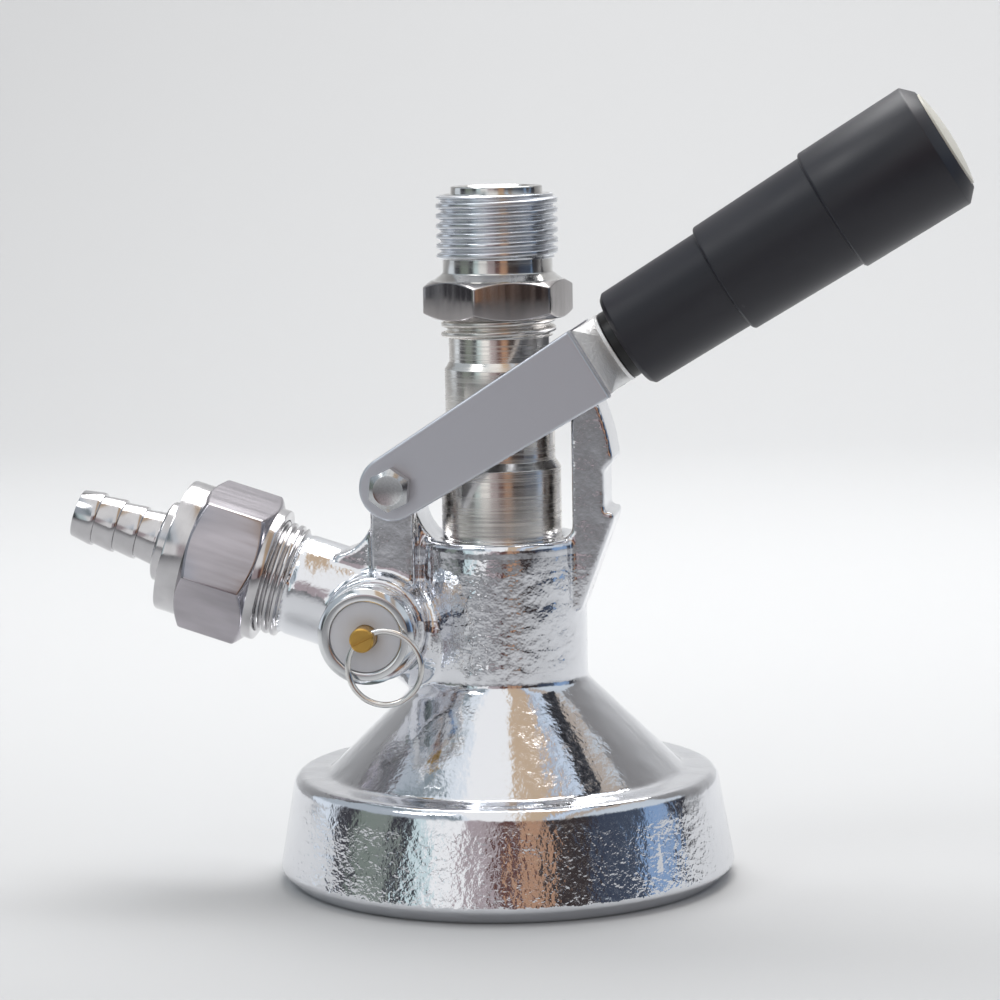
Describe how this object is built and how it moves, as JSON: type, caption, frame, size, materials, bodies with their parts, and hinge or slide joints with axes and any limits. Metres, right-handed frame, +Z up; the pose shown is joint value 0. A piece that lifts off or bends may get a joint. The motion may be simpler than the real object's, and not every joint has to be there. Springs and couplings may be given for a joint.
{
  "type": "keg coupler",
  "caption": "Lever-operated keg coupler: chromed socket base, sliding probe with threaded outlet, barbed gas inlet, relief valve with pull ring, and a latched handle.",
  "frame": {"origin": "centre of the keg socket's bottom plane, on the probe axis", "axes": "+Z up along the probe axis, towards the outlet; +X towards the handle and the guard post; -X towards the gas inlet; -Y the side of the relief valve"},
  "size_m": [0.1674, 0.0842, 0.144],
  "materials": {
    "body_chrome": "bright chrome plate over an orange-peel casting",
    "valve_chrome": "bright turned chrome",
    "nut_chrome": "nickel-chrome with drawn flats",
    "barb_steel": "turned and polished",
    "probe_steel": "turned, warm nickel tone",
    "adapter_steel": "turned, with drawn flats",
    "fork_satin": "bead-blasted satin, rough-cast boss",
    "bolt_steel": "zinc plated",
    "spring_steel": "drawn wire",
    "ring_steel": "bright wire",
    "stem_brass": "turned, slightly dull",
    "disc_grey": "smooth, pale grey",
    "rubber_black": "smooth moulded",
    "grip_black": "fine matt with light scuffs",
    "collar_black": "matt",
    "cap_beige": "smooth, off-white",
    "ball_white": "smooth"
  },
  "bodies": {
    "body": {"coupler_body": "body_chrome", "body_seal": "rubber_black", "gland_oring": "rubber_black", "pivot_bolt": "bolt_steel", "pivot_nut": "bolt_steel", "pivot_spacers": "bolt_steel", "inlet_washer": "rubber_black", "inlet_check_valve": "rubber_black", "hose_barb": "barb_steel", "valve_housing": "valve_chrome", "valve_disc": "disc_grey", "valve_spring": "spring_steel"},
    "union_nut": {"inlet_nut": "nut_chrome"},
    "lever": {"yoke": "fork_satin", "drive_pins": "bolt_steel", "guide_collar": "collar_black", "latch_spring": "spring_steel"},
    "latch": {"latch_pawl": "bolt_steel", "latch_rod": "bolt_steel", "handle_grip": "grip_black", "grip_nut": "bolt_steel", "end_cap": "cap_beige"},
    "probe": {"probe": "probe_steel", "probe_seal": "rubber_black", "outlet_gasket": "rubber_black", "outlet_adapter": "adapter_steel", "ball_retainer": "ball_white"},
    "ball": {"check_ball": "ball_white"},
    "valve": {"valve_stem": "stem_brass", "valve_poppet": "rubber_black"},
    "pull_ring": {"pull_ring": "ring_steel"}
  },
  "joints": [
    {"name": "lever_hinge", "type": "hinge", "parent": "body", "child": "lever", "pos_m": [-0.0178, 0, 0.074], "axis": [0, 1, 0], "range_deg": [0, 34.1]},
    {"name": "probe_slide", "type": "slide", "parent": "body", "child": "probe", "axis": [0, 0, -1], "range_m": [0, 0.011]},
    {"name": "latch_slide", "type": "slide", "parent": "lever", "child": "latch", "axis": [0.8517, 0, 0.524], "range_m": [-0.002, 0], "stiffness_N_per_m": 600, "springref_m": -0.005, "deforming": ["latch_spring"]},
    {"name": "nut_spin", "type": "hinge", "parent": "body", "child": "union_nut", "pos_m": [-0.05237, 0, 0.05881], "axis": [-0.9521, 0, 0.3057], "continuous": true},
    {"name": "ball_lift", "type": "slide", "parent": "probe", "child": "ball", "axis": [0, 0, 1], "range_m": [0, 0.0024]},
    {"name": "valve_pull", "type": "slide", "parent": "body", "child": "valve", "axis": [0, -1, 0], "range_m": [0, 0.003], "stiffness_N_per_m": 800, "springref_m": -0.004, "deforming": ["valve_spring"]},
    {"name": "ring_swing", "type": "hinge", "parent": "valve", "child": "pull_ring", "pos_m": [-0.02185, -0.0255, 0.0481], "axis": [-0.8039, 0, -0.5948], "range_deg": [-4, 110]}
  ],
  "couplings": [
    {"joint": "probe_slide", "follows": "lever_hinge", "m_per_rad": 0.018216}
  ]
}
